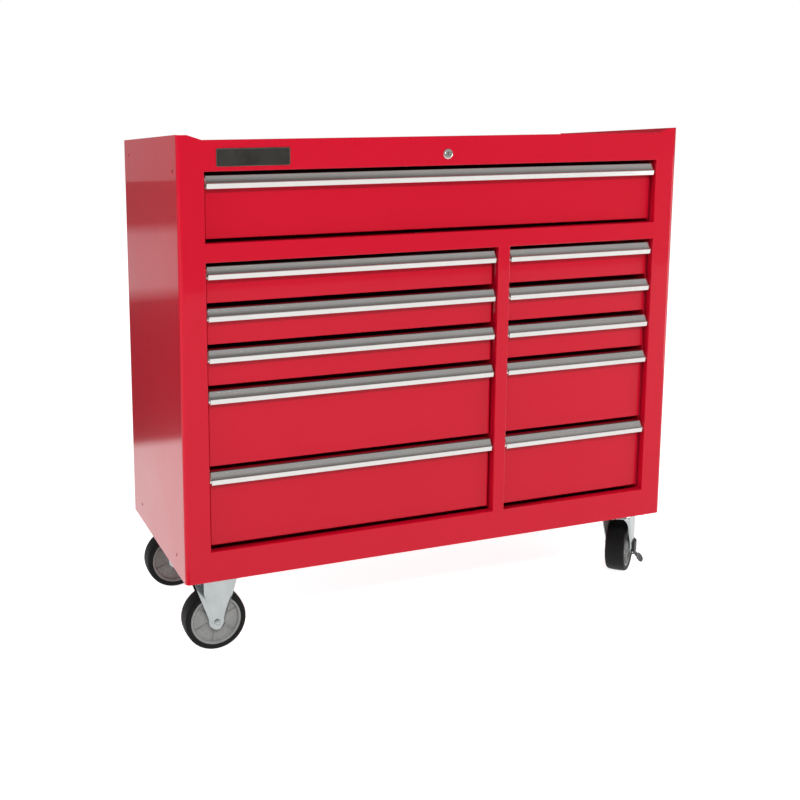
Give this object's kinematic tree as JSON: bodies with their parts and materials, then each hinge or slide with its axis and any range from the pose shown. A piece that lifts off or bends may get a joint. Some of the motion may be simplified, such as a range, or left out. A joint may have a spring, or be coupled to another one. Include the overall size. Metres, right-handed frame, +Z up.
{
  "type": "rolling tool chest",
  "caption": "Wide red steel tool chest on casters, with a full-width top drawer over two columns of drawers, a sunken top tray and a central lock.",
  "frame": {"origin": "on the floor, at the middle of the footprint's bounding box (case and the casters at rest)", "axes": "+Z up, -Y the drawer side, +X to the right of a person facing the drawers"},
  "size_m": [1.0842, 0.4596, 1.009],
  "materials": {
    "red_paint": "gloss",
    "aluminium_pull": "brushed",
    "zinc_slide": "satin",
    "zinc_steel": "satin",
    "chrome": "polished",
    "badge": "satin",
    "grey_plastic": "satin",
    "black_tyre": "matte",
    "dark_pedal": "satin"
  },
  "bodies": {
    "case": {"side_panel_left": "red_paint", "side_panel_right": "red_paint", "back_panel": "red_paint", "top_tray": "red_paint", "bottom_panel": "red_paint", "front_rails": "red_paint", "slide_supports": "red_paint", "slide_cabinet_rails": "zinc_slide", "lock_body": "chrome", "badge_plate": "badge", "rigid_caster_forks": "zinc_steel", "swivel_caster_plates": "zinc_steel", "caster_fasteners": "zinc_steel"},
    "drawer_top": {"drawer_top_box": "red_paint", "drawer_top_pull": "aluminium_pull"},
    "drawer_top_mid": {"drawer_top_mid_rails": "zinc_slide"},
    "drawer_left_1": {"drawer_left_1_box": "red_paint", "drawer_left_1_pull": "aluminium_pull"},
    "drawer_left_1_mid": {"drawer_left_1_mid_rails": "zinc_slide"},
    "drawer_left_2": {"drawer_left_2_box": "red_paint", "drawer_left_2_pull": "aluminium_pull"},
    "drawer_left_2_mid": {"drawer_left_2_mid_rails": "zinc_slide"},
    "drawer_left_3": {"drawer_left_3_box": "red_paint", "drawer_left_3_pull": "aluminium_pull"},
    "drawer_left_3_mid": {"drawer_left_3_mid_rails": "zinc_slide"},
    "drawer_left_4": {"drawer_left_4_box": "red_paint", "drawer_left_4_pull": "aluminium_pull"},
    "drawer_left_4_mid": {"drawer_left_4_mid_rails": "zinc_slide"},
    "drawer_left_5": {"drawer_left_5_box": "red_paint", "drawer_left_5_pull": "aluminium_pull"},
    "drawer_left_5_mid": {"drawer_left_5_mid_rails": "zinc_slide"},
    "drawer_right_1": {"drawer_right_1_box": "red_paint", "drawer_right_1_pull": "aluminium_pull"},
    "drawer_right_1_mid": {"drawer_right_1_mid_rails": "zinc_slide"},
    "drawer_right_2": {"drawer_right_2_box": "red_paint", "drawer_right_2_pull": "aluminium_pull"},
    "drawer_right_2_mid": {"drawer_right_2_mid_rails": "zinc_slide"},
    "drawer_right_3": {"drawer_right_3_box": "red_paint", "drawer_right_3_pull": "aluminium_pull"},
    "drawer_right_3_mid": {"drawer_right_3_mid_rails": "zinc_slide"},
    "drawer_right_4": {"drawer_right_4_box": "red_paint", "drawer_right_4_pull": "aluminium_pull"},
    "drawer_right_4_mid": {"drawer_right_4_mid_rails": "zinc_slide"},
    "drawer_right_5": {"drawer_right_5_box": "red_paint", "drawer_right_5_pull": "aluminium_pull"},
    "drawer_right_5_mid": {"drawer_right_5_mid_rails": "zinc_slide"},
    "lock_cylinder": {"lock_cylinder": "chrome"},
    "lock_bar": {"lock_bar": "zinc_steel"},
    "rigid_front_wheel": {"rigid_front_wheel_core": "grey_plastic", "rigid_front_wheel_tyre": "black_tyre"},
    "rigid_rear_wheel": {"rigid_rear_wheel_core": "grey_plastic", "rigid_rear_wheel_tyre": "black_tyre"},
    "swivel_front_fork": {"swivel_front_fork": "zinc_steel"},
    "swivel_front_wheel": {"swivel_front_wheel_core": "grey_plastic", "swivel_front_wheel_tyre": "black_tyre"},
    "swivel_front_brake": {"swivel_front_brake_pedal": "dark_pedal"},
    "swivel_rear_fork": {"swivel_rear_fork": "zinc_steel"},
    "swivel_rear_wheel": {"swivel_rear_wheel_core": "grey_plastic", "swivel_rear_wheel_tyre": "black_tyre"},
    "swivel_rear_brake": {"swivel_rear_brake_pedal": "dark_pedal"}
  },
  "joints": [
    {"name": "drawer_top_slide", "type": "slide", "parent": "case", "child": "drawer_top", "axis": [0, -1, 0], "range_m": [0, 0.38]},
    {"name": "drawer_top_mid_slide", "type": "slide", "parent": "case", "child": "drawer_top_mid", "axis": [0, -1, 0], "range_m": [0, 0.19]},
    {"name": "drawer_left_1_slide", "type": "slide", "parent": "case", "child": "drawer_left_1", "axis": [0, -1, 0], "range_m": [0, 0.38]},
    {"name": "drawer_left_1_mid_slide", "type": "slide", "parent": "case", "child": "drawer_left_1_mid", "axis": [0, -1, 0], "range_m": [0, 0.19]},
    {"name": "drawer_left_2_slide", "type": "slide", "parent": "case", "child": "drawer_left_2", "axis": [0, -1, 0], "range_m": [0, 0.38]},
    {"name": "drawer_left_2_mid_slide", "type": "slide", "parent": "case", "child": "drawer_left_2_mid", "axis": [0, -1, 0], "range_m": [0, 0.19]},
    {"name": "drawer_left_3_slide", "type": "slide", "parent": "case", "child": "drawer_left_3", "axis": [0, -1, 0], "range_m": [0, 0.38]},
    {"name": "drawer_left_3_mid_slide", "type": "slide", "parent": "case", "child": "drawer_left_3_mid", "axis": [0, -1, 0], "range_m": [0, 0.19]},
    {"name": "drawer_left_4_slide", "type": "slide", "parent": "case", "child": "drawer_left_4", "axis": [0, -1, 0], "range_m": [0, 0.38]},
    {"name": "drawer_left_4_mid_slide", "type": "slide", "parent": "case", "child": "drawer_left_4_mid", "axis": [0, -1, 0], "range_m": [0, 0.19]},
    {"name": "drawer_left_5_slide", "type": "slide", "parent": "case", "child": "drawer_left_5", "axis": [0, -1, 0], "range_m": [0, 0.38]},
    {"name": "drawer_left_5_mid_slide", "type": "slide", "parent": "case", "child": "drawer_left_5_mid", "axis": [0, -1, 0], "range_m": [0, 0.19]},
    {"name": "drawer_right_1_slide", "type": "slide", "parent": "case", "child": "drawer_right_1", "axis": [0, -1, 0], "range_m": [0, 0.38]},
    {"name": "drawer_right_1_mid_slide", "type": "slide", "parent": "case", "child": "drawer_right_1_mid", "axis": [0, -1, 0], "range_m": [0, 0.19]},
    {"name": "drawer_right_2_slide", "type": "slide", "parent": "case", "child": "drawer_right_2", "axis": [0, -1, 0], "range_m": [0, 0.38]},
    {"name": "drawer_right_2_mid_slide", "type": "slide", "parent": "case", "child": "drawer_right_2_mid", "axis": [0, -1, 0], "range_m": [0, 0.19]},
    {"name": "drawer_right_3_slide", "type": "slide", "parent": "case", "child": "drawer_right_3", "axis": [0, -1, 0], "range_m": [0, 0.38]},
    {"name": "drawer_right_3_mid_slide", "type": "slide", "parent": "case", "child": "drawer_right_3_mid", "axis": [0, -1, 0], "range_m": [0, 0.19]},
    {"name": "drawer_right_4_slide", "type": "slide", "parent": "case", "child": "drawer_right_4", "axis": [0, -1, 0], "range_m": [0, 0.38]},
    {"name": "drawer_right_4_mid_slide", "type": "slide", "parent": "case", "child": "drawer_right_4_mid", "axis": [0, -1, 0], "range_m": [0, 0.19]},
    {"name": "drawer_right_5_slide", "type": "slide", "parent": "case", "child": "drawer_right_5", "axis": [0, -1, 0], "range_m": [0, 0.38]},
    {"name": "drawer_right_5_mid_slide", "type": "slide", "parent": "case", "child": "drawer_right_5_mid", "axis": [0, -1, 0], "range_m": [0, 0.19]},
    {"name": "lock_turn", "type": "hinge", "parent": "case", "child": "lock_cylinder", "pos_m": [-0.00864, -0.22825, 0.9653], "axis": [0, 1, 0], "range_deg": [0, 90]},
    {"name": "lock_bar_drop", "type": "slide", "parent": "case", "child": "lock_bar", "axis": [0, 0, -1], "range_m": [0, 0.006]},
    {"name": "rigid_front_wheel_spin", "type": "hinge", "parent": "case", "child": "rigid_front_wheel", "pos_m": [-0.47414, -0.16525, 0.0615], "axis": [0, 1, 0], "continuous": true},
    {"name": "rigid_rear_wheel_spin", "type": "hinge", "parent": "case", "child": "rigid_rear_wheel", "pos_m": [-0.47414, 0.16675, 0.0615], "axis": [0, 1, 0], "continuous": true},
    {"name": "swivel_front_turn", "type": "hinge", "parent": "case", "child": "swivel_front_fork", "pos_m": [0.45686, -0.16525, 0.1495], "axis": [0, 0, 1], "continuous": true},
    {"name": "swivel_front_wheel_spin", "type": "hinge", "parent": "swivel_front_fork", "child": "swivel_front_wheel", "pos_m": [0.48514, -0.13697, 0.0615], "axis": [-0.7071, 0.7071, 0], "continuous": true},
    {"name": "swivel_front_brake_press", "type": "hinge", "parent": "swivel_front_fork", "child": "swivel_front_brake", "pos_m": [0.50848, -0.1603, 0.0475], "axis": [0.7071, 0.7071, 0], "range_deg": [0, 25]},
    {"name": "swivel_rear_turn", "type": "hinge", "parent": "case", "child": "swivel_rear_fork", "pos_m": [0.45686, 0.16675, 0.1495], "axis": [0, 0, 1], "continuous": true},
    {"name": "swivel_rear_wheel_spin", "type": "hinge", "parent": "swivel_rear_fork", "child": "swivel_rear_wheel", "pos_m": [0.41686, 0.16675, 0.0615], "axis": [0, -1, 0], "continuous": true},
    {"name": "swivel_rear_brake_press", "type": "hinge", "parent": "swivel_rear_fork", "child": "swivel_rear_brake", "pos_m": [0.41686, 0.19975, 0.0475], "axis": [-1, 0, 0], "range_deg": [0, 25]}
  ],
  "couplings": [
    {"joint": "drawer_top_mid_slide", "follows": "drawer_top_slide", "ratio": 0.5},
    {"joint": "drawer_left_1_mid_slide", "follows": "drawer_left_1_slide", "ratio": 0.5},
    {"joint": "drawer_left_2_mid_slide", "follows": "drawer_left_2_slide", "ratio": 0.5},
    {"joint": "drawer_left_3_mid_slide", "follows": "drawer_left_3_slide", "ratio": 0.5},
    {"joint": "drawer_left_4_mid_slide", "follows": "drawer_left_4_slide", "ratio": 0.5},
    {"joint": "drawer_left_5_mid_slide", "follows": "drawer_left_5_slide", "ratio": 0.5},
    {"joint": "drawer_right_1_mid_slide", "follows": "drawer_right_1_slide", "ratio": 0.5},
    {"joint": "drawer_right_2_mid_slide", "follows": "drawer_right_2_slide", "ratio": 0.5},
    {"joint": "drawer_right_3_mid_slide", "follows": "drawer_right_3_slide", "ratio": 0.5},
    {"joint": "drawer_right_4_mid_slide", "follows": "drawer_right_4_slide", "ratio": 0.5},
    {"joint": "drawer_right_5_mid_slide", "follows": "drawer_right_5_slide", "ratio": 0.5},
    {"joint": "lock_turn", "follows": "lock_bar_drop", "rad_per_m": 261.8}
  ]
}
